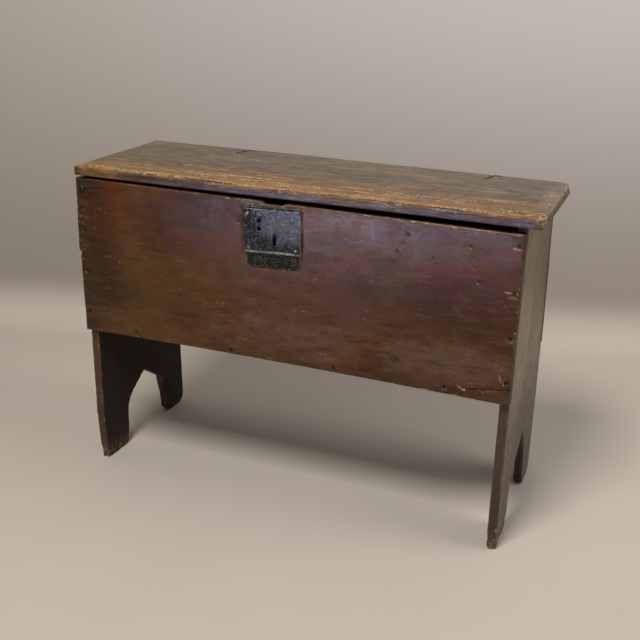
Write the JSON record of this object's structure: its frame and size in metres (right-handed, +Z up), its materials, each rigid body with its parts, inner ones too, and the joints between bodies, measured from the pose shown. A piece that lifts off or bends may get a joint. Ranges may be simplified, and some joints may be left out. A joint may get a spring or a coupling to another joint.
{
  "type": "six plank coffer",
  "caption": "Long low-footed oak storage chest of nailed boards with arched end feet, a hinged plank lid on wire staples and an iron plate lock with a sliding bolt.",
  "frame": {"origin": "on the floor, under the middle of the coffer's overall length and depth", "axes": "+X along the coffer's length to its right end as seen from the front, +Y towards its back, +Z up"},
  "size_m": [0.9225, 0.361, 0.6593],
  "materials": {
    "oak_front": "waxed, dark reddish brown",
    "oak_lid": "worn and waxed, golden to grey brown",
    "oak_end": "dry, grey brown",
    "oak_inside": "raw, unpolished",
    "wrought_iron": "hammered, dark",
    "rusted_iron": "rough, brown rust"
  },
  "bodies": {
    "coffer": {"front_plank": "oak_front", "back_plank": "oak_inside", "left_end": "oak_end", "right_end": "oak_end", "bottom_plank": "oak_inside", "left_hinge_back_staple": "rusted_iron", "right_hinge_back_staple": "rusted_iron", "lock_plate": "wrought_iron", "under_plate": "rusted_iron", "left_bolt_keeper": "rusted_iron", "right_bolt_keeper": "rusted_iron", "bolt_spring": "wrought_iron", "ward_bridge": "rusted_iron", "drill_pin": "wrought_iron", "lock_plate_nail_1": "wrought_iron", "lock_plate_nail_2": "wrought_iron", "lock_plate_nail_3": "wrought_iron", "lock_plate_nail_4": "wrought_iron", "under_plate_nail_1": "rusted_iron", "under_plate_nail_2": "rusted_iron", "front_left_nail_1": "wrought_iron", "front_left_nail_2": "wrought_iron", "front_left_nail_3": "wrought_iron", "front_left_nail_4": "wrought_iron", "front_right_nail_1": "wrought_iron", "front_right_nail_2": "wrought_iron", "front_right_nail_3": "wrought_iron", "front_right_nail_4": "wrought_iron", "back_left_nail_1": "wrought_iron", "back_left_nail_2": "wrought_iron", "back_left_nail_3": "wrought_iron", "back_left_nail_4": "wrought_iron", "back_right_nail_1": "wrought_iron", "back_right_nail_2": "wrought_iron", "back_right_nail_3": "wrought_iron", "back_right_nail_4": "wrought_iron", "front_bottom_nail_1": "wrought_iron", "front_bottom_nail_2": "wrought_iron", "front_bottom_nail_3": "wrought_iron", "front_bottom_nail_4": "wrought_iron", "back_bottom_nail_1": "wrought_iron", "back_bottom_nail_2": "wrought_iron", "back_bottom_nail_3": "wrought_iron", "back_bottom_nail_4": "wrought_iron"},
    "lid": {"lid": "oak_lid", "left_hinge_lid_staple": "rusted_iron", "right_hinge_lid_staple": "rusted_iron"},
    "bolt": {"lock_bolt": "wrought_iron"}
  },
  "joints": [
    {"name": "lid_hinge", "type": "hinge", "parent": "coffer", "child": "lid", "pos_m": [0, 0.14067, 0.6395], "axis": [-1, 0, 0], "range_deg": [0, 100]},
    {"name": "bolt_slide", "type": "slide", "parent": "coffer", "child": "bolt", "axis": [0.9993, 0, 0.0366], "range_m": [0, 0.0136]}
  ]
}
